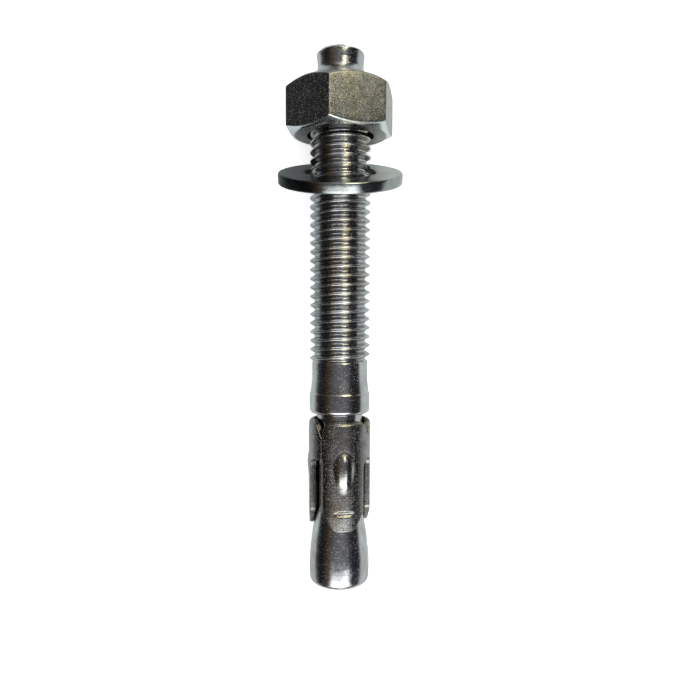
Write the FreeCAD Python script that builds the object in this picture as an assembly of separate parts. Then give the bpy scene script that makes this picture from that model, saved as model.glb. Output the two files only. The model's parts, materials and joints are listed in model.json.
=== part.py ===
import FreeCAD, Part
import math
import os

from FreeCAD import Base, Placement, Rotation, Vector

# Wedge anchor for a drilled hole in concrete: a stud whose cone is drawn into a slotted clip,
# with its washer and nut. Lengths are in millimetres and angles in degrees.
# Each piece is modelled on an upright axis, with heights counted from the cone end,
# and angles round the axis counted from the side that faces up once the anchor lies down.
# The anchor then lies as it comes to rest, on the washer's rim and the edge of its cone end.

# Stud, from the cone end up
total_length = 120.0
cone_length = 17.7
cone_edge_round = 1.4
cone_edge_diameter = 13.7
cone_bulge_diameter = 13.86
cone_bulge_height = 4.7
cone_shoulder_diameter = 13.4
cone_shoulder_height = 7.9
cone_flank_diameter = 12.5
cone_flank_height = 11.7
neck_diameter = 10.4
neck_length = 22.0
collar_diameter = 13.7
collar_length = 4.8
collar_round = 1.0
step_drop = 0.12
step_height = 0.3
flare_length = 3.0
shank_diameter = 12.6
shank_length = 3.6
thread_diameter = 13.6
thread_lead_in = 0.5
thread_end_chamfer = 0.8
point_length = 4.4
point_waist_diameter = 10.25
point_waist_height = 0.6
point_tip_diameter = 10.7
point_tip_chamfer = 0.35

# Nut
nut_flats = 22.0
nut_height = 11.0
nut_below_tip = 7.2
nut_turned = 20.0
nut_face_diameter = 20.9
nut_chamfer_angle = 30.0
nut_clearance = 0.05
nut_entry_chamfer = 0.7

# Washer, leaning on the stud
washer_diameter = 28.0
washer_hole = 15.7
washer_thickness = 2.5
washer_edge_bevel = 0.3
washer_below_nut = 9.0
washer_lean = 20.5

# Clip, a strip that is stamped flat and rolled round the neck
sheet = 1.3
clip_clearance = 0.55
clip_play = 1.4
clip_over_cone = 4.1
clip_parts = 3
clip_turned = 10.0
lobe_height = 3.8
lobe_corner_round = 1.3
lobe_edge_bevel = 0.5
notch_angle = 38.0
notch_round = 0.5
band_height = 4.9
slot_angle = 36.0
tongue_angle = 40.0
tongue_height = 3.9
tongue_round = 1.6
lip_clearance = 0.08
lip_bevel_height = 2.4
seam_gap = 0.25
seam_corner_round = 0.3

# Pressed oval and groove on each part of the clip
oval_above_lip = 8.8
oval_length = 9.0
oval_peak_above_lip = 14.5
oval_width = 4.7
oval_rise = 0.79
groove_above_lip = 4.1
groove_bar_radius = 0.75
groove_depth = 0.4

# Derived sizes
neck_top = cone_length + neck_length
collar_top = neck_top + collar_length
shank_bottom = collar_top + flare_length
thread_bottom = shank_bottom + shank_length
thread_top = total_length - point_length
nut_bottom = total_length - nut_below_tip - nut_height
washer_middle = nut_bottom - washer_below_nut
clip_inner = neck_diameter / 2 + clip_clearance
clip_outer = clip_inner + sheet
clip_middle = clip_inner + sheet / 2
clip_bottom = cone_length - clip_over_cone
clip_top = neck_top - clip_play
band_top = clip_top - lobe_height
band_bottom = band_top - band_height
part_angle = 360.0 / clip_parts
wing_angle = part_angle - slot_angle
slot_round = math.radians(slot_angle) * clip_middle / 2
oval_bottom = clip_bottom + oval_above_lip
oval_top = oval_bottom + oval_length
oval_peak = clip_bottom + oval_peak_above_lip


def at(radius, height):
    return Vector(radius, 0, height)


def straight(points):
    return [Part.LineSegment(a, b).toShape() for a, b in zip(points, points[1:])]


def rounded_edge(start, end, centre):
    # the quarter round from start to end, as two bevels
    halfway = (start - centre) + (end - centre)
    return [start, centre + halfway.normalize() * (start - centre).Length, end]


def easing_point(low, crown):
    # halfway along the arc that climbs from the low end and is level at the crown
    rise = crown.x - low.x
    run = crown.z - low.z
    radius = (run * run + rise * rise) / (2 * rise)
    half = math.asin(run / radius) / 2
    return at(crown.x - radius * (1 - math.cos(half)), crown.z - radius * math.sin(half))


def turned(edges):
    return Part.Face(Part.Wire(edges)).revolve(Vector(0, 0, 0), Vector(0, 0, 1), 360)


def outward(angle):
    return Vector(math.sin(math.radians(angle)), -math.cos(math.radians(angle)), 0)


def round_axis(shape, angle):
    # turns a shape from the X axis to an angle counted from the side that faces up
    return shape.rotated(Vector(0, 0, 0), Vector(0, 0, 1), angle - 90)


def cone_radius(height):
    # radius of the cone's steeper length, next to the neck
    rise = (cone_flank_diameter - neck_diameter) / 2
    return neck_diameter / 2 + rise * (cone_length - height) / (cone_length - cone_flank_height)


def cone_outline():
    edge_radius = cone_edge_diameter / 2
    edge_centre = at(edge_radius - cone_edge_round, cone_edge_round)
    edge_low = at(edge_centre.x, 0)
    edge_high = at(edge_radius, cone_edge_round)
    bulge = at(cone_bulge_diameter / 2, cone_bulge_height)
    shoulder = at(cone_shoulder_diameter / 2, cone_shoulder_height)
    flank = at(cone_flank_diameter / 2, cone_flank_height)
    root = at(neck_diameter / 2, cone_length)
    return [
        *straight([at(0, 0), *rounded_edge(edge_low, edge_high, edge_centre)]),
        Part.Arc(edge_high, bulge, shoulder).toShape(),
        *straight([shoulder, flank, root]),
    ]


def collar_outline():
    collar = collar_diameter / 2
    neck = neck_diameter / 2
    round_low = at(collar - collar_round, neck_top)
    round_high = at(collar, neck_top + collar_round)
    step_low = at(collar, collar_top - step_height)
    step_high = at(collar - step_drop, collar_top)
    flare_end = at(shank_diameter / 2, shank_bottom)
    lower_edge = rounded_edge(round_low, round_high, at(round_low.x, round_high.z))
    start = [at(neck, cone_length), at(neck, neck_top)]
    return straight([*start, *lower_edge, step_low, step_high, flare_end])


def thread_outline():
    # the threaded length as a plain rod of the thread's outside diameter, then the point
    shank = shank_diameter / 2
    rod = thread_diameter / 2
    tip = point_tip_diameter / 2
    return straight([
        at(shank, shank_bottom),
        at(shank, thread_bottom),
        at(rod, thread_bottom + thread_lead_in),
        at(rod, thread_top - thread_end_chamfer),
        at(tip, thread_top),
        at(point_waist_diameter / 2, thread_top + point_waist_height),
        at(tip, total_length - point_tip_chamfer),
        at(tip - point_tip_chamfer, total_length),
        at(0, total_length),
        at(0, 0),
    ])


def anchor_stud():
    return turned(cone_outline() + collar_outline() + thread_outline())


def hex_nut():
    corner = nut_flats / math.sqrt(3)
    face = nut_face_diameter / 2
    bevel = (corner - face) * math.tan(math.radians(nut_chamfer_angle))
    bore = thread_diameter / 2 + nut_clearance
    mouth = bore + nut_entry_chamfer
    corners = [outward(nut_turned + 30 + 60 * side) * corner for side in range(7)]
    prism = Part.Face(Part.makePolygon(corners)).extrude(Vector(0, 0, nut_height))
    blank = turned(straight([
        at(mouth, 0),
        at(face, 0),
        at(corner, bevel),
        at(corner, nut_height - bevel),
        at(face, nut_height),
        at(mouth, nut_height),
        at(bore, nut_height - nut_entry_chamfer),
        at(bore, nut_entry_chamfer),
        at(mouth, 0),
    ]))
    return prism.common(blank).Solids[0].translated(Vector(0, 0, nut_bottom))


def flat_washer():
    hole = washer_hole / 2
    rim = washer_diameter / 2
    half = washer_thickness / 2
    ring = turned(straight([
        at(hole, -half),
        at(rim - washer_edge_bevel, -half),
        at(rim, washer_edge_bevel - half),
        at(rim, half - washer_edge_bevel),
        at(rim - washer_edge_bevel, half),
        at(hole, half),
        at(hole, -half),
    ]))
    ring.rotate(Vector(0, 0, 0), Vector(1, 0, 0), washer_lean)
    return ring.translated(Vector(0, 0, washer_middle))


def strip_outline():
    # corners of the flat strip as (angle, height, corner radius): along its lower edge from
    # the seam round to the seam, and back along its upper edge
    seam = clip_turned - wing_angle / 2
    seam_end = seam + 360 - math.degrees(seam_gap / clip_middle)
    lobe_inset = (notch_angle - slot_angle) / 2
    lower = []
    upper = []
    for part in range(clip_parts):
        middle = clip_turned + part * part_angle
        left = middle - wing_angle / 2
        right = middle + wing_angle / 2
        next_left = right + slot_angle
        lower += [
            (left, clip_bottom + tongue_height, tongue_round),
            (middle - tongue_angle / 2, clip_bottom, tongue_round),
            (middle + tongue_angle / 2, clip_bottom, tongue_round),
            (right, clip_bottom + tongue_height, tongue_round),
            (right, band_bottom, slot_round),
        ]
        lobe_left = left + lobe_inset if part else left
        upper.append((lobe_left, clip_top, lobe_corner_round))
        if part < clip_parts - 1:
            lower.append((next_left, band_bottom, slot_round))
            upper.append((right - lobe_inset, clip_top, lobe_corner_round))
            upper.append((right + slot_angle / 2, band_top, notch_round))
        else:
            lower.append((seam_end, band_bottom, seam_corner_round))
            upper.append((right + slot_angle / 2, clip_top, lobe_corner_round))
            upper.append((seam_end, band_top, seam_corner_round))
    return lower + upper[::-1]


def rolled(outline):
    # rounds the corners of a flat outline, lays it on the clip's inside and thickens it outwards
    cylinder = Part.Cylinder()
    cylinder.Radius = clip_inner
    start = outline[0][0]
    corners = [Vector(math.radians(angle - start) * clip_middle, height, 0) for angle, height, _ in outline]

    def on_roll(point):
        return Base.Vector2d(point.x / clip_middle, point.y)

    bends = []
    for i, (_, _, radius) in enumerate(outline):
        before = corners[i - 1] - corners[i]
        after = corners[(i + 1) % len(corners)] - corners[i]
        half = before.getAngle(after) / 2
        trim = radius / math.tan(half)
        bends.append((corners[i] + before.normalize() * trim, corners[i] + after.normalize() * trim, half))
    edges = []
    for i, (into, out_of, half) in enumerate(bends):
        bend = Part.Geom2d.BezierCurve2d()
        bend.setPoles([on_roll(into), on_roll(corners[i]), on_roll(out_of)])
        bend.setWeight(2, math.sin(half))
        edges.append(bend.toShape(cylinder))
        following = bends[(i + 1) % len(bends)][0]
        if (following - out_of).Length > 1e-3:
            edges.append(Part.Geom2d.Line2dSegment(on_roll(out_of), on_roll(following)).toShape(cylinder))
    skin = Part.Face(cylinder, Part.Wire(edges))
    return round_axis(skin.makeOffsetShape(sheet, 1e-3, fill=True), start)


def clip_envelope():
    # bevels the lobes' outer edges, and the lip inside where it lies over the cone
    return turned(straight([
        at(clip_outer, clip_top - lobe_edge_bevel),
        at(clip_outer - lobe_edge_bevel, clip_top),
        at(clip_inner, clip_top),
        at(clip_inner, clip_bottom + lip_bevel_height),
        at(cone_radius(clip_bottom) + lip_clearance, clip_bottom),
        at(clip_outer, clip_bottom),
        at(clip_outer, clip_top - lobe_edge_bevel),
    ]))


def oval_bead(inset):
    # a bead that stands out of the clip by the oval's rise and is as wide as the oval there;
    # the dent behind it is set in by the sheet, and its long slope is straight
    half_width = oval_width / 2
    peak = clip_outer + oval_rise
    side = math.sqrt(clip_outer ** 2 - half_width ** 2)
    core = (peak ** 2 - half_width ** 2 - side ** 2) / (2 * (peak - side))
    crown = at(peak - core - inset, oval_peak)
    low = at(clip_outer - core - inset, oval_bottom)
    high = at(clip_outer - core - inset, oval_top)
    long_slope = [low, crown] if inset else [low, easing_point(low, crown), crown]
    bead = turned(straight([*long_slope, high, at(0, oval_top), at(0, oval_bottom), low]))
    return bead.translated(Vector(core, 0, 0))


def groove_bar():
    middle = clip_outer + groove_bar_radius - groove_depth
    start = Vector(middle, -oval_width, clip_bottom + groove_above_lip)
    return Part.makeCylinder(groove_bar_radius, 2 * oval_width, start, Vector(0, 1, 0))


def expansion_clip():
    clip = rolled(strip_outline()).common(clip_envelope())
    inside = Part.makeCylinder(clip_inner, clip_top)
    for part in range(clip_parts):
        angle = clip_turned + part * part_angle
        bead = round_axis(oval_bead(0), angle).cut(inside)
        dents = [round_axis(oval_bead(sheet), angle), round_axis(groove_bar(), angle)]
        clip = clip.fuse(bead).cut(dents)
    return clip.Solids[0]


def rest_slope():
    # slope of the stud's axis once it lies on the edge of its cone end and its washer's rim
    lean = math.radians(washer_lean)
    rim = washer_diameter / 2
    half = washer_thickness / 2 - washer_edge_bevel
    rim_along = washer_middle + rim * math.sin(lean) - half * math.cos(lean)
    rim_below = rim * math.cos(lean) + half * math.sin(lean)
    along = rim_along - cone_edge_round
    below = rim_below - cone_edge_diameter / 2
    return math.degrees(math.atan2(below, along))


def laid_down(pieces):
    # lowers the upright axis onto +Y and puts the origin under the middle of the whole anchor
    lowering = Rotation(Vector(1, 0, 0), rest_slope() - 90)
    for shape in pieces.values():
        shape.Placement = Placement(Vector(0, 0, 0), lowering).multiply(shape.Placement)
    box = Part.makeCompound(list(pieces.values())).optimalBoundingBox(False)
    shift = Vector(0, -(box.YMin + box.YMax) / 2, -box.ZMin)
    for shape in pieces.values():
        shape.translate(shift)
    return shift


anchor = {
    "anchor_stud": anchor_stud(),
    "expansion_clip": expansion_clip(),
    "flat_washer": flat_washer(),
    "hex_nut": hex_nut(),
}
axis_shift = laid_down(anchor)
os.makedirs("parts", exist_ok=True)
for node, shape in anchor.items():
    shape.exportStep(f"parts/{node}.step")
    print(node, round(shape.Volume, 2), "cubic millimetres")
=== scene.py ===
import json
import math

import bmesh
import bpy
from mathutils import Euler, Matrix, Vector, geometry, kdtree, noise


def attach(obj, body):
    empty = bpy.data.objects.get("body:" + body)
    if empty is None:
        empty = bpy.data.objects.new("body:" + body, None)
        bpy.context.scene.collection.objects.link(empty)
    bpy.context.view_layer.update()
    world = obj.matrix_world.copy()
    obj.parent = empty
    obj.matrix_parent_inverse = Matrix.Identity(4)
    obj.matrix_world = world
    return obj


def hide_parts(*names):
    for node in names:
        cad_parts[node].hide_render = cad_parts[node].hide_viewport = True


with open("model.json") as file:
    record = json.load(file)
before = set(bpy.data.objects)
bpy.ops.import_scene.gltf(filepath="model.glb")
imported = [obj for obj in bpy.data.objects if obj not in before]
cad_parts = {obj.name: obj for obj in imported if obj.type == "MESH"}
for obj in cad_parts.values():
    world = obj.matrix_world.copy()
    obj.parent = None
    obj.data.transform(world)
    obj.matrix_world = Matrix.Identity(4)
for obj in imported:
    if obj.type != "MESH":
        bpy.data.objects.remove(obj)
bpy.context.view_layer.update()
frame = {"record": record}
print("frame loaded")

# The pieces are shaped upright in millimetres, cone end down, and then laid on the nut's own axis.
# Angles round the axis count from the side that faces up, towards +X.
mm = 0.001
weld = 2e-6
nutJoint = next(joint for joint in frame["record"]["behaviour"]["joints"] if joint["name"] == "nut_turn")
axis = Vector(nutJoint["axis"]).normalized()
nutFoot = 101.8
coneEnd = Vector(nutJoint["pos_m"]) - axis * nutFoot * mm
right = Vector((1, 0, 0))
turnDown = Matrix((right, axis.cross(right), axis)).transposed()
layDown = Matrix.Translation(coneEnd) @ turnDown.to_4x4()


def outward(angle):
    return Vector((math.sin(math.radians(angle)), -math.cos(math.radians(angle)), 0))


def nodeKit(tree):
    # add(kind, input=value or socket, ...) makes a node and fills its inputs by name or number
    def add(kind, settings=None, **inputs):
        node = tree.nodes.new(kind)
        for key, value in (settings or {}).items():
            setattr(node, key, value)
        for key, value in inputs.items():
            numbered = key[0] == "i" and key[1:].isdigit()
            socket = node.inputs[int(key[1:]) if numbered else key.replace("_", " ")]
            if isinstance(value, bpy.types.NodeSocket):
                tree.links.new(value, socket)
            else:
                socket.default_value = value
        return node
    return add


def mathKit(add):
    def calc(operation, first, second=None, third=None):
        inputs = {"i0": first}
        if second is not None:
            inputs["i1"] = second
        if third is not None:
            inputs["i2"] = third
        return add("ShaderNodeMath", {"operation": operation}, **inputs).outputs[0]
    return calc


def rampKit(add):
    # ramp(value, low, high, outLow, outHigh) maps one range to another and holds both ends
    def ramp(value, low, high, outLow=0.0, outHigh=1.0):
        return add("ShaderNodeMapRange", None, Value=value, From_Min=low, From_Max=high,
                   To_Min=outLow, To_Max=outHigh).outputs[0]
    return ramp


def blendKit(add):
    def blend(share, first, second):
        return add("ShaderNodeMix", {"data_type": "RGBA"}, i0=share, i6=first, i7=second).outputs[2]
    return blend


def threadTree():
    # a helical thread as one tube: each row of the grid follows the helix at one place of the profile
    tree = bpy.data.node_groups.new("Thread", "GeometryNodeTree")
    tree.interface.new_socket("Geometry", in_out="INPUT", socket_type="NodeSocketGeometry")
    for name, kind in (("Columns", "Int"), ("Rows", "Int"), ("Rows per turn", "Int"), ("Pitch", "Float"),
                       ("Length", "Float"), ("Phase", "Float"), ("Crest radius", "Float"),
                       ("Root radius", "Float"), ("Mouth radius", "Float"), ("Tip radius", "Float"),
                       ("Tip slope", "Float"), ("Run-out", "Float"), ("Run-out radius", "Float"),
                       ("Finish", "Material")):
        tree.interface.new_socket(name, in_out="INPUT", socket_type="NodeSocket" + kind)
    tree.interface.new_socket("Geometry", in_out="OUTPUT", socket_type="NodeSocketGeometry")
    add = nodeKit(tree)
    calc = mathKit(add)
    given = add("NodeGroupInput").outputs
    grid = add("GeometryNodeMeshGrid", None, Size_X=1.0, Size_Y=1.0,
               Vertices_X=calc("ADD", given["Columns"], 1),
               Vertices_Y=calc("ADD", given["Rows"], 1)).outputs["Mesh"]
    place = add("ShaderNodeSeparateXYZ", None, i0=add("GeometryNodeInputPosition").outputs[0]).outputs
    around = calc("ADD", place["X"], 0.5)
    row = calc("ROUND", calc("MULTIPLY", calc("ADD", place["Y"], 0.5), given["Rows"]))
    turns = calc("DIVIDE", row, given["Rows per turn"])
    lag = calc("ADD", given["Phase"], 1)
    height = calc("MULTIPLY", given["Pitch"], calc("SUBTRACT", calc("ADD", turns, around), lag))
    height = calc("MINIMUM", calc("MAXIMUM", height, 0), given["Length"])
    # the profile from root to crest, with both rounded
    flank = calc("ABSOLUTE", calc("SUBTRACT", calc("MULTIPLY", calc("FRACT", turns), 2), 1))
    curve = add("ShaderNodeFloatCurve", None, Value=flank)
    line = curve.mapping.curves[0]
    line.points[0].location = (0, 0)
    line.points[1].location = (1, 1)
    for spot in ((0.14, 0.012), (0.27, 0.09), (0.5, 0.42), (0.75, 0.82), (0.87, 0.975)):
        line.points.new(*spot)
    curve.mapping.update()
    depth = calc("SUBTRACT", given["Crest radius"], given["Root radius"])
    radius = calc("MULTIPLY_ADD", depth, curve.outputs[0], given["Root radius"])
    toTop = calc("SUBTRACT", given["Length"], height)
    radius = calc("MAXIMUM", radius, calc("SUBTRACT", given["Mouth radius"], calc("MINIMUM", height, toTop)))
    radius = calc("MINIMUM", radius, calc("MULTIPLY_ADD", toTop, given["Tip slope"], given["Tip radius"]))
    fade = add("ShaderNodeMapRange", {"interpolation_type": "SMOOTHSTEP"}, Value=height,
               From_Max=given["Run-out"]).outputs[0]
    radius = add("ShaderNodeMix", {"data_type": "FLOAT"}, Factor=fade, A=given["Run-out radius"],
                 B=radius).outputs[0]
    turn = calc("MULTIPLY", around, math.tau)
    spot = add("ShaderNodeCombineXYZ", None, X=calc("MULTIPLY", radius, calc("COSINE", turn)),
               Y=calc("MULTIPLY", radius, calc("SINE", turn)), Z=height).outputs[0]
    tube = add("GeometryNodeSetPosition", None, Geometry=grid, Position=spot).outputs[0]
    tube = add("GeometryNodeMergeByDistance", None, Geometry=tube, Distance=weld).outputs[0]
    tube = add("GeometryNodeRealizeInstances", None, Geometry=tube).outputs[0]
    tube = add("GeometryNodeSetMaterial", None, Geometry=tube, Material=given["Finish"]).outputs[0]
    add("NodeGroupOutput", None, Geometry=tube)
    return tree


def threadMesh(tree, values):
    holder = bpy.data.objects.new("threadHolder", bpy.data.meshes.new("threadHolder"))
    bpy.context.collection.objects.link(holder)
    modifier = holder.modifiers.new("Thread", "NODES")
    modifier.node_group = tree
    for item in tree.interface.items_tree:
        if item.in_out == "INPUT" and item.name in values:
            modifier[item.identifier] = values[item.name]
    bpy.context.view_layer.update()
    made = bpy.data.meshes.new_from_object(holder.evaluated_get(bpy.context.evaluated_depsgraph_get()))
    bpy.data.objects.remove(holder)
    return made


def arcThrough(corner, before, after, radius, steps=6):
    # rounds one corner of an outline
    inward = (before - corner).normalized()
    onward = (after - corner).normalized()
    half = inward.angle(onward) / 2
    trim = min(radius / math.tan(half), (before - corner).length * 0.5, (after - corner).length * 0.5)
    start = corner + inward * trim
    end = corner + onward * trim
    centre = corner + (inward + onward).normalized() * trim / math.cos(half)
    sweep = (start - centre).angle(end - centre)
    points = []
    for step in range(steps + 1):
        share = step / steps
        mix = (start - centre) * math.sin(sweep * (1 - share)) + (end - centre) * math.sin(sweep * share)
        points.append(centre + mix / math.sin(sweep))
    return points


def softened(corners, longest=0.9):
    # an outline of (radius, height, rounding), with its corners rounded and its long runs divided
    spots = [Vector((r, h)) for r, h, _ in corners]
    line = [spots[0]]
    for index in range(1, len(spots) - 1):
        rounding = corners[index][2]
        if rounding:
            line += arcThrough(spots[index], spots[index - 1], spots[index + 1], rounding)
        else:
            line.append(spots[index])
    line.append(spots[-1])
    return divided(line, longest)


def divided(line, longest):
    out = [line[0]]
    for spot in line[1:]:
        pieces = max(1, math.ceil((spot - out[-1]).length / longest))
        start = out[-1]
        out += [start.lerp(spot, (n + 1) / pieces) for n in range(pieces)]
    return out


def easedThrough(spots, steps=7):
    # a smooth curve through all the given spots
    line = [spots[0]]
    for index in range(len(spots) - 1):
        a, b = spots[index], spots[index + 1]
        before = spots[index - 1] if index else a * 2 - b
        after = spots[index + 2] if index + 2 < len(spots) else b * 2 - a
        for step in range(1, steps + 1):
            t = step / steps
            line.append(0.5 * ((2 * a) + (b - before) * t + (2 * before - 5 * a + 4 * b - after) * t * t
                               + (3 * a - before - 3 * b + after) * t ** 3))
    return line


def addLathe(mesh, line, columns, closed=False, reach=None):
    # turns an outline of (radius, height) into mesh; reach may change a point of radius, height and angle
    rings = []
    for radius, height in line:
        if radius < 1e-6:
            rings.append([mesh.verts.new((0, 0, height * mm))])
            continue
        ring = []
        for column in range(columns):
            turn = math.tau * column / columns
            r, h = reach(radius, height, turn) if reach else (radius, height)
            ring.append(mesh.verts.new((r * mm * math.cos(turn), r * mm * math.sin(turn), h * mm)))
        rings.append(ring)
    if closed:
        rings.append(rings[0])
    for low, high in zip(rings, rings[1:]):
        for column in range(columns):
            after = (column + 1) % columns
            if len(low) == 1:
                mesh.faces.new((low[0], high[after], high[column]))
            elif len(high) == 1:
                mesh.faces.new((low[column], low[after], high[0]))
            else:
                mesh.faces.new((low[column], low[after], high[after], high[column]))


def finishedPiece(name, mesh, finish, body, node, place=None):
    # closes the seams, turns the faces outwards, lays the piece down and hands it to the frame
    bmesh.ops.remove_doubles(mesh, verts=mesh.verts, dist=weld)
    bmesh.ops.recalc_face_normals(mesh, faces=mesh.faces)
    loose = sum(1 for edge in mesh.edges if len(edge.link_faces) != 2)
    made = bpy.data.meshes.new(name)
    mesh.transform(layDown @ (place or Matrix()))
    mesh.to_mesh(made)
    mesh.free()
    made.shade_smooth()
    made.materials.clear()
    made.materials.append(finish)
    piece = bpy.data.objects.new(name, made)
    bpy.context.collection.objects.link(piece)
    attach(piece, body)
    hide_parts(node)
    print(name, len(made.polygons), "faces,", loose, "open edges")
    return piece


# What the zinc finishes share, in millimetres and in noise levels from 0 to 1.
zinc = {
    "cloudLevels": (0.35, 0.65), "stainScale": 0.22, "stainStretch": (1, 1, 0.45), "stainLevels": (0.5, 0.68),
    "streakScale": 3.2, "streakStretch": (1, 1, 0.06), "ringScale": 2.4, "ringStretch": (0.05, 0.05, 1.6),
    "pitEdge": 0.06, "pitRough": 0.2, "pitColour": (0.09, 0.085, 0.08, 1), "roughScale": 0.9,
    # the edge tint here dims where the washer's side has painted shade
    # the root colour is painted shade for the thread's roots
    "roughLevels": (0.3, 0.7), "rootShadeColour": (0.1, 0.1, 0.095, 1), "paintedShadeEdge": (0.6, 0.6, 0.6, 1),
    "rubbedEdge": 0.25, "rubbedBumps": 0.25, "rubbedRough": 0.8, "rubbedColour": (0.52, 0.52, 0.5, 1),
    # the bevel's bright bluish colour is a painted highlight
    "bevelEdge": 0.2, "bevelBumps": 0.12, "bevelHighlightColour": (0.84, 0.88, 0.91, 1),
}


def zincFinish(name, values):
    material = bpy.data.materials.new(name)
    material.use_nodes = True
    tree = material.node_tree
    tree.nodes.clear()
    add = nodeKit(tree)
    calc = mathKit(add)
    ramp = rampKit(add)
    blend = blendKit(add)
    spots = add("ShaderNodeTexCoord").outputs["Object"]
    # from here on the pattern is in millimetres, along the anchor's own axis
    along = add("ShaderNodeMapping", {"vector_type": "TEXTURE"}, Vector=spots, Location=coneEnd,
                Rotation=turnDown.to_euler(), Scale=(mm, mm, mm)).outputs[0]
    xyz = add("ShaderNodeSeparateXYZ", None, i0=along).outputs

    def grain(scale, detail=3.0, stretch=(1, 1, 1), rough=0.55, seed=0.0):
        moved = add("ShaderNodeMapping", None, Vector=along, Location=(seed, seed * 0.7, -seed),
                    Scale=stretch).outputs[0]
        return add("ShaderNodeTexNoise", None, Vector=moved, Scale=scale, Detail=detail,
                   Roughness=rough).outputs[0]

    cloud = grain(values["cloudScale"], 4.0)
    colour = blend(ramp(cloud, *zinc["cloudLevels"]), values["colour"] + (1,), values["shade"] + (1,))
    stain = ramp(grain(zinc["stainScale"], stretch=zinc["stainStretch"], seed=7.3), *zinc["stainLevels"])
    colour = blend(calc("MULTIPLY", stain, values["stain"]), colour, values["stainColour"] + (1,))
    # fine scratches along and across, and small pits
    streaks = grain(zinc["streakScale"], 4.0, zinc["streakStretch"], seed=3.1)
    rings = grain(zinc["ringScale"], 3.0, zinc["ringStretch"], seed=5.7)
    pits = grain(values["pitScale"], 2.0, seed=11.0)
    pits = ramp(pits, values["pitLevel"], values["pitLevel"] + zinc["pitEdge"])
    colour = blend(calc("MULTIPLY", pits, values["pitDark"]), colour, zinc["pitColour"])
    rough = ramp(grain(zinc["roughScale"], 4.0, seed=2.2), *zinc["roughLevels"],
                 values["roughLow"], values["roughHigh"])
    rough = calc("ADD", rough, calc("MULTIPLY", pits, zinc["pitRough"]))
    radius = calc("SQRT", calc("ADD", calc("MULTIPLY", xyz["X"], xyz["X"]),
                               calc("MULTIPLY", xyz["Y"], xyz["Y"])))
    if "rootShade" in values:
        # painted shade in the thread's roots, between the thread's ends
        root = ramp(radius, values["crestRadius"], values["rootRadius"])
        threaded = calc("MULTIPLY", root, ramp(xyz["Z"], *values["threadStart"]))
        threaded = calc("MULTIPLY", threaded, ramp(xyz["Z"], *values["threadEnd"]))
        colour = blend(calc("MULTIPLY", threaded, values["rootShade"]), colour, zinc["rootShadeColour"])
    edge = (1, 1, 1, 1)
    if "paintedShade" in values:
        # painted shade on its -X side, standing for a dark reflection there, up to a cloudy border; the edge
        # tint dims with it
        unshaded = ramp(calc("MULTIPLY_ADD", cloud, values["paintedShadeCloud"], xyz["X"]), *values["paintedShadeSpan"])
        colour = blend(unshaded, values["paintedShade"] + (1,), colour)
        edge = blend(unshaded, zinc["paintedShadeEdge"], edge)
    bumps = 1.0
    if "rubbedRadius" in values:
        # what stands out furthest is rubbed smooth and bright
        bumps = ramp(radius, values["rubbedRadius"], values["rubbedRadius"] + zinc["rubbedEdge"],
                     1.0, zinc["rubbedBumps"])
        rough = calc("MULTIPLY", rough, ramp(bumps, zinc["rubbedBumps"], 1.0, zinc["rubbedRough"], 1.0))
        colour = blend(bumps, zinc["rubbedColour"], colour)
    if "bevelSlope" in values:
        # the bevel under the nut is turned smooth, and its bright bluish colour is a painted highlight
        bevel = calc("MULTIPLY", calc("SUBTRACT", radius, values["bevelRadius"]), values["bevelSlope"])
        depth = calc("SUBTRACT", calc("SUBTRACT", xyz["Z"], nutFoot), bevel)
        bumps = ramp(depth, 0.0, zinc["bevelEdge"], zinc["bevelBumps"], 1.0)
        colour = blend(bumps, zinc["bevelHighlightColour"], colour)
    height = calc("ADD", calc("MULTIPLY", streaks, values["streaks"]),
                  calc("MULTIPLY", rings, values["rings"]))
    fine = grain(values["grainScale"], 5.0, rough=0.65, seed=1.4)
    height = calc("ADD", height, calc("MULTIPLY", fine, values["grain"]))
    height = calc("MULTIPLY", calc("SUBTRACT", height, calc("MULTIPLY", pits, values["pitDepth"])), bumps)
    bump = add("ShaderNodeBump", None, Height=height, Strength=1.0, Distance=mm).outputs[0]
    shader = add("ShaderNodeBsdfPrincipled", None, Base_Color=colour, Roughness=rough, Normal=bump,
                 Metallic=1.0, Specular_Tint=edge)
    add("ShaderNodeOutputMaterial", None, Surface=shader.outputs[0])
    return material


# The stud: a turned cone, neck, collar and shank, the helical thread and the plain point.
stud = {
    "columns": 128, "rowsPerTurn": 16, "pitch": 2.0, "threadFoot": 51.1, "threadTop": 115.6,
    "crest": 6.8, "root": 5.717, "pointRadius": 5.35, "pointSlope": 0.75, "runOut": 0.9, "runOutRadius": 6.3,
    "threadRows": 540, "footLine": ((1.2, 0.0, 0), (5.3, 0.0, 0)),
    "footCorner": ((6.85, 0.0), (3.6, 0.0), (6.85, 3.2)), "footRound": 1.4,
    "coneLine": ((6.85, 1.4), (6.92, 3.0), (6.93, 4.7), (6.87, 6.3), (6.7, 7.9), (6.25, 11.7), (5.2, 17.7)),
    "collarLine": ((5.2, 17.7, 0), (5.2, 39.7, 0.25), (6.85, 39.7, 1.0), (6.85, 44.15, 0.06),
                   (6.66, 44.45, 0.1), (6.56, 45.2, 1.0), (6.3, 47.4, 2.0), (6.3, 51.1, 0)),
    "pointLine": ((5.35, 115.6, 0), (5.125, 116.2, 0.3), (5.16, 117.6, 1.0), (5.35, 119.4, 0.25),
                  (4.75, 120.0, 0.2), (3.0, 119.9, 0), (0.0, 119.9, 0)),
    "rimFoot": 118.2, "rimHeight": 1.6, "rimDent": 0.35, "rimDrop": 0.5, "unevenTop": 48.0, "uneven": 0.03,
    "unchanged": 3.0,
}
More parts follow.
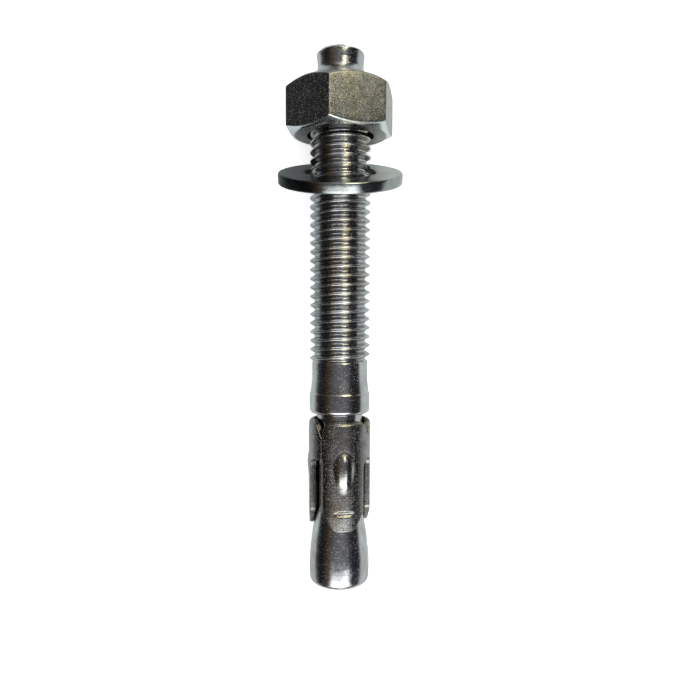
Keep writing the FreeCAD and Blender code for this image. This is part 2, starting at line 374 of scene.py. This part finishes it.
studZinc = zincFinish("studZinc", {
    "colour": (0.6, 0.61, 0.62), "shade": (0.45, 0.46, 0.48), "cloudScale": 0.35,
    "stain": 0.5, "stainColour": (0.32, 0.22, 0.1), "pitScale": 3.4, "pitLevel": 0.64, "pitDark": 0.6,
    # the thread's roots get painted shade
    "pitDepth": 0.014, "roughLow": 0.12, "roughHigh": 0.24, "rootShade": 0.2, "crestRadius": 6.75,
    "rootRadius": 5.95, "threadStart": (51.2, 53.0), "threadEnd": (115.8, 115.0),
    "streaks": 0.012, "rings": 0.005, "grain": 0.016, "grainScale": 5.0,
})


def studReach(radius, height, turn):
    # the tip's rim is battered, and the cold-formed lengths are a touch uneven
    if radius <= stud["unchanged"]:
        return radius, height
    spot = Vector((math.cos(turn), math.sin(turn), height * 0.35))
    if height > stud["rimFoot"]:
        dent = max(0.0, noise.noise(spot * 2.3 + Vector((3, 1, 5))) - 0.1)
        share = min(1.0, (height - stud["rimFoot"]) / stud["rimHeight"])
        return radius - stud["rimDent"] * dent * share, height - stud["rimDrop"] * dent * share
    if height < stud["unevenTop"]:
        return radius - stud["uneven"] * abs(noise.noise(spot * 1.3)), height
    return radius, height


threadNodes = threadTree()
shape = bmesh.new()
footCorner = arcThrough(*[Vector(spot) for spot in stud["footCorner"]], stud["footRound"], 9)
coneLine = easedThrough([Vector(spot) for spot in stud["coneLine"]])
lowerLine = [Vector((0, 0)), *softened(stud["footLine"]), *footCorner, *coneLine[1:],
             *softened(stud["collarLine"])[1:]]
addLathe(shape, lowerLine, stud["columns"], reach=studReach)
pointLine = softened(stud["pointLine"], 0.35)
pointLine[-1] = Vector(stud["pointLine"][-1][:2])
addLathe(shape, pointLine, stud["columns"], reach=studReach)
thread = threadMesh(threadNodes, {
    "Columns": stud["columns"], "Rows": stud["threadRows"], "Rows per turn": stud["rowsPerTurn"],
    "Pitch": stud["pitch"] * mm, "Length": (stud["threadTop"] - stud["threadFoot"]) * mm, "Phase": 0.0,
    "Crest radius": stud["crest"] * mm, "Root radius": stud["root"] * mm, "Mouth radius": 0.0,
    "Tip radius": stud["pointRadius"] * mm, "Tip slope": stud["pointSlope"], "Run-out": stud["runOut"] * mm,
    "Run-out radius": stud["runOutRadius"] * mm, "Finish": studZinc,
})
thread.transform(Matrix.Translation((0, 0, stud["threadFoot"] * mm)))
shape.from_mesh(thread)
finishedPiece("studBody", shape, studZinc, "stud", "anchor_stud")

# The nut: a chamfered hexagon round its own thread.
nut = {
    "flats": 22.0, "height": 11.0, "turned": 20.0, "faceRadius": 10.45, "topChamfer": 34.0,
    "bottomChamfer": 28.0, "faceRound": 0.5, "edgeRound": 0.55, "cornerRound": 0.55, "mouthRadius": 7.5,
    "minor": 5.95, "major": 6.95, "columnsPerSide": 22, "threadRows": 110, "phase": 0.35,
}
nutZinc = zincFinish("nutZinc", {
    "colour": (0.37, 0.37, 0.36), "shade": (0.27, 0.27, 0.265), "cloudScale": 0.5,
    "stain": 0.3, "stainColour": (0.3, 0.27, 0.15), "pitScale": 3.2, "pitLevel": 0.6, "pitDark": 0.35,
    "pitDepth": 0.03, "roughLow": 0.11, "roughHigh": 0.2, "bevelRadius": nut["faceRadius"],
    "bevelSlope": math.tan(math.radians(nut["bottomChamfer"])),
    "streaks": 0.0, "rings": 0.0, "grain": 0.05, "grainScale": 7.0,
})


def nutRadii():
    # the hexagon's outline as seen along the axis, with rounded corners
    inner = (nut["flats"] / 2 - nut["cornerRound"]) / math.cos(math.radians(30))
    spots = []
    for side in range(6):
        corner = nut["turned"] + 30 + 60 * side
        centre = outward(corner) * inner
        for step in range(7):
            spots.append(centre + outward(corner - 30 + 10 * step) * nut["cornerRound"])
        start = spots[-1]
        end = outward(corner + 60) * inner + outward(corner + 30) * nut["cornerRound"]
        count = nut["columnsPerSide"]
        spots += [start.lerp(end, 0.5 - 0.5 * math.cos(math.pi * n / count)) for n in range(1, count)]
    return spots


def nutHalf(reach, chamfer):
    # one upright outline from the mouth to half the height, where the hexagon reaches that far out
    mouth = Vector((nut["mouthRadius"], 0))
    face = Vector((nut["faceRadius"], 0))
    edge = Vector((reach, (reach - face.x) * math.tan(math.radians(chamfer))))
    middle = Vector((reach, nut["height"] / 2))
    faceEdge = arcThrough(face, mouth, edge, nut["faceRound"], 4)
    sideEdge = arcThrough(edge, face, middle, nut["edgeRound"], 5)
    side = [sideEdge[-1].lerp(middle, share / 4) for share in range(1, 5)]
    return [mouth, mouth.lerp(face, 0.5), *faceEdge, faceEdge[-1].lerp(sideEdge[0], 0.5), *sideEdge, *side]


def nutColumn(reach):
    low = nutHalf(reach, nut["bottomChamfer"])
    high = [Vector((spot.x, nut["height"] - spot.y)) for spot in nutHalf(reach, nut["topChamfer"])]
    return low + high[::-1][1:]


shape = bmesh.new()
columns = []
for spot in nutRadii():
    direction = spot.normalized()
    points = [direction * r + Vector((0, 0, nutFoot + h)) for r, h in nutColumn(spot.length)]
    columns.append([shape.verts.new(point * mm) for point in points])
for first, second in zip(columns, columns[1:] + columns[:1]):
    for row in range(len(first) - 1):
        shape.faces.new((first[row], second[row], second[row + 1], first[row + 1]))
# a tip radius of a metre leaves the nut's thread whole
nutThread = threadMesh(threadNodes, {
    "Columns": stud["columns"], "Rows": nut["threadRows"], "Rows per turn": stud["rowsPerTurn"],
    "Pitch": stud["pitch"] * mm, "Length": nut["height"] * mm, "Phase": nut["phase"],
    "Crest radius": nut["major"] * mm, "Root radius": nut["minor"] * mm,
    "Mouth radius": nut["mouthRadius"] * mm, "Tip radius": 1.0, "Tip slope": 0.0,
    "Run-out": 0.0, "Run-out radius": 0.0, "Finish": nutZinc,
})
nutThread.transform(Matrix.Translation((0, 0, nutFoot * mm)))
shape.from_mesh(nutThread)
rims = [edge for edge in shape.edges if len(edge.link_faces) == 1]
bmesh.ops.remove_doubles(shape, verts=list({v for edge in rims for v in edge.verts}), dist=weld)
rims = [edge for edge in shape.edges if len(edge.link_faces) == 1]
for height in (nutFoot, nutFoot + nut["height"]):
    rim = [edge for edge in rims if abs(edge.verts[0].co.z - height * mm) < 1e-6]
    bmesh.ops.bridge_loops(shape, edges=rim)
finishedPiece("nutBody", shape, nutZinc, "nut", "hex_nut")

# The washer leans on the stud and holds the anchor off the floor.
washer = {
    "radius": 14.0, "hole": 7.85, "thickness": 2.5, "middle": 92.8, "lean": 20.5, "rolledEdge": 0.42,
    "burrEdge": 0.4, "seam": 10.5, "longest": 0.6, "columns": 160,
}
washerZinc = zincFinish("washerZinc", {
    "colour": (0.44, 0.47, 0.45), "shade": (0.3, 0.32, 0.32), "cloudScale": 0.25,
    "stain": 0.3, "stainColour": (0.3, 0.32, 0.24), "pitScale": 2.0, "pitLevel": 0.7, "pitDark": 0.35,
    # the dark colour on the washer's -X side is painted shade, standing for a dark reflection
    "pitDepth": 0.04, "roughLow": 0.13, "roughHigh": 0.24, "paintedShade": (0.04, 0.048, 0.05),
    "paintedShadeSpan": (-8.0, 3.0), "paintedShadeCloud": 6.0,
    "streaks": 0.0, "rings": 0.0, "grain": 0.02, "grainScale": 2.2,
})
half = washer["thickness"] / 2
ring = softened([
    (washer["seam"], -half, 0), (washer["radius"], -half, washer["burrEdge"]),
    (washer["radius"], half, washer["rolledEdge"]), (washer["hole"], half, washer["rolledEdge"]),
    (washer["hole"], -half, washer["burrEdge"]), (washer["seam"], -half, 0)], washer["longest"])
shape = bmesh.new()
addLathe(shape, ring[:-1], washer["columns"], closed=True)
leaned = (Matrix.Translation((0, 0, washer["middle"] * mm))
          @ Matrix.Rotation(math.radians(washer["lean"]), 4, "X"))
finishedPiece("washerBody", shape, washerZinc, "washer", "flat_washer", leaned)

# The clip: a flat strip outline with pressed ovals and grooves, rolled round the neck.
clip = {
    "inner": 5.75, "sheet": 1.3, "bottom": 13.6, "top": 38.3, "bandTop": 34.5, "bandBottom": 29.6,
    "turned": 10.0, "part": 120.0, "slot": 36.0, "notch": 38.0, "tongue": 40.0, "tongueHeight": 3.9,
    "tongueRound": 1.6, "lobeRound": 2.4, "notchRound": 0.5, "seamRound": 0.3, "seamGap": 0.25,
    "edgeRound": 0.2, "lobeEdge": 1.1,
    "ovalLow": 22.4, "ovalPeak": 28.1, "ovalHigh": 31.4, "ovalWidth": 4.7, "ovalRise": 0.79,
    "ovalBlend": 0.12, "ovalNear": 0.5, "groove": 17.7, "grooveBar": 0.75, "grooveDepth": 0.4,
    "grooveBlend": 0.05, "taper": 0.05, "taperGap": 0.6, "lipRadius": 5.997, "lipHeight": 2.4,
    "innerRound": 0.06, "grid": 0.24, "step": 0.15, "edgeDepths": (0.0, 0.03, 0.1, 0.2),
    "sheetShares": (0.3, 0.65),
}
clipZinc = zincFinish("clipZinc", {
    "colour": (0.33, 0.325, 0.315), "shade": (0.22, 0.215, 0.2), "cloudScale": 0.5,
    "stain": 0.4, "stainColour": (0.2, 0.14, 0.09), "pitScale": 3.0, "pitLevel": 0.62, "pitDark": 0.4,
    "pitDepth": 0.03, "rubbedRadius": 7.12, "roughLow": 0.14, "roughHigh": 0.26,
    "streaks": 0.03, "rings": 0.02, "grain": 0.045, "grainScale": 5.0,
})
outer = clip["inner"] + clip["sheet"]
middleRadius = clip["inner"] + clip["sheet"] / 2


def stripCorners():
    # the flat strip's corners as angle, height and rounding, from the seam round to the seam and back
    wing = clip["part"] - clip["slot"]
    inset = (clip["notch"] - clip["slot"]) / 2
    seamEnd = clip["turned"] - wing / 2 + 360 - math.degrees(clip["seamGap"] / middleRadius)
    slotRound = math.radians(clip["slot"]) * middleRadius / 2
    lower, upper = [], []
    for number in range(3):
        middle = clip["turned"] + number * clip["part"]
        start, end = middle - wing / 2, middle + wing / 2
        lower += [(start, clip["bottom"] + clip["tongueHeight"], clip["tongueRound"]),
                  (middle - clip["tongue"] / 2, clip["bottom"], clip["tongueRound"]),
                  (middle + clip["tongue"] / 2, clip["bottom"], clip["tongueRound"]),
                  (end, clip["bottom"] + clip["tongueHeight"], clip["tongueRound"]),
                  (end, clip["bandBottom"], slotRound)]
        upper.append((start + inset if number else start, clip["top"], clip["lobeRound"]))
        if number < 2:
            lower.append((end + clip["slot"], clip["bandBottom"], slotRound))
            upper += [(end - inset, clip["top"], clip["lobeRound"]),
                      (end + clip["slot"] / 2, clip["bandTop"], clip["notchRound"])]
        else:
            lower.append((seamEnd, clip["bandBottom"], clip["seamRound"]))
            upper += [(end + clip["slot"] / 2, clip["top"], clip["lobeRound"]),
                      (seamEnd, clip["bandTop"], clip["seamRound"])]
    return [(Vector((math.radians(angle) * middleRadius, height)), rounding)
            for angle, height, rounding in lower + upper[::-1]]


def stripOutline():
    corners = stripCorners()
    line = []
    for index, (spot, rounding) in enumerate(corners):
        before, after = corners[index - 1][0], corners[(index + 1) % len(corners)][0]
        back, onward = (before - spot).normalized(), (after - spot).normalized()
        half = (before - spot).angle(after - spot) / 2
        sweep = math.pi - 2 * half
        trim = rounding / math.tan(half)
        start, end = spot + back * trim, spot + onward * trim
        centre = spot + (back + onward).normalized() * rounding / math.sin(half)
        if not line:
            line.append(start)
        elif (start - line[-1]).length > 1e-4:
            line += divided([line[-1], start], clip["step"])[1:]
        count = max(3, math.ceil(rounding * sweep / clip["step"]))
        for n in range(1, count + 1):
            share = n / count
            mix = (start - centre) * math.sin(sweep * (1 - share)) + (end - centre) * math.sin(sweep * share)
            line.append(centre + mix / math.sin(sweep))
    line += divided([line[-1], line[0]], clip["step"])[1:-1]
    return line


def inset(line, depth):
    moved = []
    for index, spot in enumerate(line):
        way = (line[(index + 1) % len(line)] - line[index - 1]).normalized()
        moved.append(spot + Vector((-way.y, way.x)) * depth)
    return moved


def insideOutline(spot, line):
    inside = False
    for a, b in zip(line, line[1:] + line[:1]):
        if (a.y > spot.y) != (b.y > spot.y) and spot.x < (b.x - a.x) * (spot.y - a.y) / (b.y - a.y) + a.x:
            inside = not inside
    return inside


def fromMiddle(angle):
    # degrees from the middle of the nearest wing
    return (angle - clip["turned"] + 60) % clip["part"] - 60


def softMax(first, second, width):
    gap = first - second
    return (first + second + math.sqrt(gap * gap + width * width)) / 2


def ovalRadius(offAngle, height, sink):
    # how far out the pressed oval reaches; sink lowers it to the dent behind it
    halfWidth = clip["ovalWidth"] / 2
    peak = outer + clip["ovalRise"]
    side = math.sqrt(outer ** 2 - halfWidth ** 2)
    core = (peak ** 2 - halfWidth ** 2 - side ** 2) / (2 * (peak - side))
    end = clip["ovalLow"] if height < clip["ovalPeak"] else clip["ovalHigh"]
    share = (height - clip["ovalPeak"]) / (end - clip["ovalPeak"])
    if share > 1.15:
        return 0.0
    bead = outer - core + clip["ovalRise"] * (1 - share * share) - sink
    across = core * math.sin(offAngle)
    if abs(across) >= bead:
        return 0.0
    return core * math.cos(offAngle) + math.sqrt(bead * bead - across * across)


def edgeDrop(depth, rounding):
    return rounding - math.sqrt(rounding ** 2 - (rounding - depth) ** 2) if depth < rounding else 0.0


def clipOutside(angle, height, depth):
    off = math.radians(fromMiddle(angle))
    radius = outer
    bump = ovalRadius(off, height, 0)
    near = clip["ovalNear"]
    if bump > outer - near:
        blend = clip["ovalBlend"]
        radius = softMax(radius, bump, blend) - blend / 2 * min(1, max(0, (bump - outer + near) / near))
    bar = clip["grooveBar"]
    if abs(height - clip["groove"]) < bar and abs(off) < 1:
        rise = math.sqrt(bar ** 2 - (height - clip["groove"]) ** 2)
        floor = (outer + bar - clip["grooveDepth"] - rise) / math.cos(off)
        radius = -softMax(-radius, -floor, clip["grooveBlend"])
    topDrop = edgeDrop(max(0, clip["top"] - height), clip["lobeEdge"])
    radius -= max(edgeDrop(depth, clip["edgeRound"]), topDrop)
    return radius - clip["taper"] * max(0, (clip["groove"] - clip["taperGap"] - height))


def clipInside(angle, height, depth):
    off = math.radians(fromMiddle(angle))
    radius = clip["inner"]
    dent = ovalRadius(off, height, clip["sheet"])
    if dent > radius:
        radius = dent
    lip = (clip["bottom"] + clip["lipHeight"] - height) / clip["lipHeight"]
    if lip > 0:
        radius = max(radius, clip["inner"] + (clip["lipRadius"] - clip["inner"]) * lip)
    return radius + edgeDrop(depth, clip["innerRound"])


def clipShape():
    outline = stripOutline()
    depths = clip["edgeDepths"]
    loops = [outline] + [inset(outline, depth) for depth in depths[1:]]
    spots = [spot for loop in loops for spot in loop]
    size = len(outline)
    edges = [(n * size + i, n * size + (i + 1) % size) for n in range(len(loops)) for i in range(size)]
    near = kdtree.KDTree(size)
    for index, spot in enumerate(loops[-1]):
        near.insert(spot.to_3d(), index)
    near.balance()
    low = Vector((min(s.x for s in outline), min(s.y for s in outline)))
    high = Vector((max(s.x for s in outline), max(s.y for s in outline)))
    # the rows of equal-sided triangles inside the outline
    step, slant = clip["grid"], 0.866
    for row in range(int((high.y - low.y) / step / slant)):
        for column in range(int((high.x - low.x) / step)):
            spot = low + Vector(((column + 0.5 * (row % 2)) * step, row * step * slant))
            if near.find(spot.to_3d())[2] > 0.75 * step and insideOutline(spot, loops[-1]):
                spots.append(spot)
    found = geometry.delaunay_2d_cdt(spots, edges, [list(range(size))], 1, 1e-6)
    flat, triangles, origins = found[0], found[2], found[3]
    depthOf = [depths[min(ids) // size] if ids and min(ids) < len(depths) * size else 1.0 for ids in origins]
    shape = bmesh.new()
    layers = []
    for surface in (clipOutside, clipInside):
        layer = []
        for spot, depth in zip(flat, depthOf):
            angle = math.degrees(spot.x / middleRadius)
            point = outward(angle) * surface(angle, spot.y, depth) + Vector((0, 0, spot.y))
            layer.append(shape.verts.new(point * mm))
        layers.append(layer)
    for a, b, c in triangles:
        shape.faces.new((layers[0][a], layers[0][b], layers[0][c]))
        shape.faces.new((layers[1][c], layers[1][b], layers[1][a]))
    index = {min(ids): number for number, ids in enumerate(origins) if ids and min(ids) < size}
    order = [index[i] for i in range(size)]
    rows = [[layers[0][i] for i in order]]
    for share in clip["sheetShares"]:
        rows.append([shape.verts.new(layers[0][i].co.lerp(layers[1][i].co, share)) for i in order])
    rows.append([layers[1][i] for i in order])
    for first, second in zip(rows, rows[1:]):
        for i in range(size):
            after = (i + 1) % size
            shape.faces.new((first[i], second[i], second[after], first[after]))
    return shape


finishedPiece("clipBody", clipShape(), clipZinc, "clip", "expansion_clip")

# Floor, light and camera, for the upright anchor: the camera's place is in millimetres, the rest in metres.
# Sides and window are given as the way's height, -1 to 1, and as shares of half a turn.
studio = {
    "cameraPlace": (2.32, -146.19, 64.04), "cameraDip": 3.955, "cameraRoll": 0.24, "focalPixels": 640,
    "framePixels": 700, "sensor": 36, "anchorMiddle": (0, 0, 0.06),
    "paperReach": 1.5, "paperGlow": 0.7, "mirroredGlow": 0.05, "paperTone": (0.8, 0.8, 0.8, 1),
    "mirroredTone": (0.63, 0.68, 0.73, 1), "beyondTone": (0.03, 0.03, 0.03, 1), "paperEnd": (-0.03, -0.07),
    "coneSide": (-0.5, -0.72, 1.0, 3.2), "tipSide": (0.3, 0.42, 1.0, 2.4),
    "windowAngle": 21 / 180, "windowEdge": (11 / 180, 5 / 180), "windowAbove": (0.15, 0.3),
    "windowBelow": (-0.55, -0.7), "windowColour": (3.4, 3.5, 2.6, 1),
}
roomBands = (
    (-180, (0.9, 0.9, 0.92)), (-98, (0.85, 0.86, 0.88)), (-93, (0.02, 0.022, 0.026)),
    (-62, (0.015, 0.016, 0.02)), (-54, (0.055, 0.038, 0.018)), (-38, (0.095, 0.072, 0.04)),
    (-24, (0.15, 0.15, 0.16)), (12, (0.2, 0.205, 0.22)), (34, (0.13, 0.125, 0.15)),
    (50, (0.025, 0.025, 0.03)), (88, (0.02, 0.02, 0.024)), (95, (0.85, 0.85, 0.9)), (180, (0.9, 0.9, 0.92)),
)
lamps = {
    "warmLamp": {"place": (0.38, -0.70, 0.70), "width": 0.08, "depth": 0.7, "watts": 2.1,
                 "colour": (1.0, 0.85, 0.5)},
    "whitePanel": {"place": (0.07, -0.66, -0.62), "width": 1.1, "depth": 0.6, "watts": 5.0,
                   "colour": (0.95, 0.97, 1.0)},
    "softFill": {"place": (0.1, -1.39, 0.06), "width": 1.2, "depth": 1.2, "watts": 7.0,
                 "colour": (1, 1, 1), "glossy": False},
}


def plainFloor():
    mesh = bpy.data.meshes.new("paperSheet")
    reach = studio["paperReach"]
    corners = [(-reach, -reach, 0), (reach, -reach, 0), (reach, reach, 0), (-reach, reach, 0)]
    mesh.from_pydata(corners, [], [(0, 1, 2, 3)])
    floor = bpy.data.objects.new("paperSheet", mesh)
    bpy.context.collection.objects.link(floor)
    paper = bpy.data.materials.new("paperSheet")
    paper.use_nodes = True
    tree = paper.node_tree
    tree.nodes.clear()
    add = nodeKit(tree)
    calc = mathKit(add)
    blend = blendKit(add)
    path = add("ShaderNodeLightPath").outputs
    mirrored = calc("MAXIMUM", path["Is Glossy Ray"], path["Is Transmission Ray"])
    glow = calc("MULTIPLY_ADD", path["Is Camera Ray"], studio["paperGlow"],
                calc("MULTIPLY", mirrored, studio["mirroredGlow"]))
    # the metal sees the paper end a few centimetres to the left
    place = add("ShaderNodeSeparateXYZ", None, i0=add("ShaderNodeTexCoord").outputs["Object"]).outputs
    beyond = rampKit(add)(place["X"], *studio["paperEnd"])
    tone = blend(beyond, studio["mirroredTone"], studio["beyondTone"])
    tone = blend(mirrored, studio["paperTone"], tone)
    white = add("ShaderNodeBsdfDiffuse", None, Color=tone).outputs[0]
    light = add("ShaderNodeEmission", None, Color=(1, 1, 1, 1), Strength=glow).outputs[0]
    both = add("ShaderNodeAddShader", None, i0=white, i1=light).outputs[0]
    add("ShaderNodeOutputMaterial", None, Surface=both)
    mesh.materials.append(paper)


def areaLamp(name, place, width, depth, watts, colour, glossy=True):
    # faces the anchor's middle
    lamp = bpy.data.lights.new(name, "AREA")
    lamp.shape = "RECTANGLE"
    lamp.size, lamp.size_y = width, depth
    lamp.energy = watts
    lamp.color = colour
    holder = bpy.data.objects.new(name, lamp)
    bpy.context.collection.objects.link(holder)
    holder.location = layDown @ Vector(place)
    way = layDown @ Vector(studio["anchorMiddle"]) - holder.location
    holder.rotation_euler = way.to_track_quat("-Z", "Y").to_euler()
    holder.visible_glossy = glossy


def roomAround():
    # a dim room, brown to the left and lilac to the right, that the camera sees as plain white
    world = bpy.data.worlds.new("room")
    bpy.context.scene.world = world
    world.use_nodes = True
    tree = world.node_tree
    tree.nodes.clear()
    add = nodeKit(tree)
    calc = mathKit(add)
    ramp = rampKit(add)
    blend = blendKit(add)
    way = add("ShaderNodeSeparateXYZ", None, i0=add("ShaderNodeTexCoord").outputs["Generated"]).outputs
    angle = calc("DIVIDE", calc("ARCTAN2", way["X"], way["Z"]), math.pi)
    bands = add("ShaderNodeValToRGB", None, Fac=calc("MULTIPLY_ADD", angle, 0.5, 0.5))
    stops = bands.color_ramp.elements
    while len(stops) > 1:
        stops.remove(stops[-1])
    stops[0].position = 0
    stops[0].color = roomBands[0][1] + (1,)
    for degrees, colour in roomBands[1:]:
        stops.new(degrees / 360 + 0.5).color = colour + (1,)
    # brighter beyond both ends, and a tall warm window that the flat lengths of the stud don't mirror
    ends = calc("MULTIPLY", ramp(way["Y"], *studio["coneSide"]), ramp(way["Y"], *studio["tipSide"]))
    aside = ramp(calc("ABSOLUTE", calc("SUBTRACT", angle, studio["windowAngle"])), *studio["windowEdge"])
    window = calc("MULTIPLY", aside, calc("MAXIMUM", ramp(way["Y"], *studio["windowAbove"]),
                                          ramp(way["Y"], *studio["windowBelow"])))
    colour = add("ShaderNodeVectorMath", {"operation": "SCALE"}, Vector=bands.outputs[0],
                 Scale=ends).outputs[0]
    colour = blend(window, colour, studio["windowColour"])
    seen = add("ShaderNodeLightPath").outputs["Is Camera Ray"]
    back = add("ShaderNodeBackground", None, Color=blend(seen, colour, (1, 1, 1, 1)), Strength=1.0).outputs[0]
    add("ShaderNodeOutputWorld", None, Surface=back)


plainFloor()
roomAround()
for name, lamp in lamps.items():
    areaLamp(name, **lamp)

camera = bpy.data.cameras.new("camera")
camera.sensor_width = studio["sensor"]
camera.lens = studio["sensor"] * studio["focalPixels"] / studio["framePixels"]
camera.clip_start = 0.005
holder = bpy.data.objects.new("camera", camera)
bpy.context.collection.objects.link(holder)
aimed = Euler((math.radians(90 - studio["cameraDip"]), 0, 0)).to_matrix().to_4x4()
rolled = Matrix.Rotation(math.radians(studio["cameraRoll"]), 4, "Z")
holder.matrix_world = layDown @ Matrix.Translation(Vector(studio["cameraPlace"]) * mm) @ aimed @ rolled
bpy.context.scene.camera = holder
bpy.context.scene.view_settings.view_transform = "Standard"

print("scene ready")
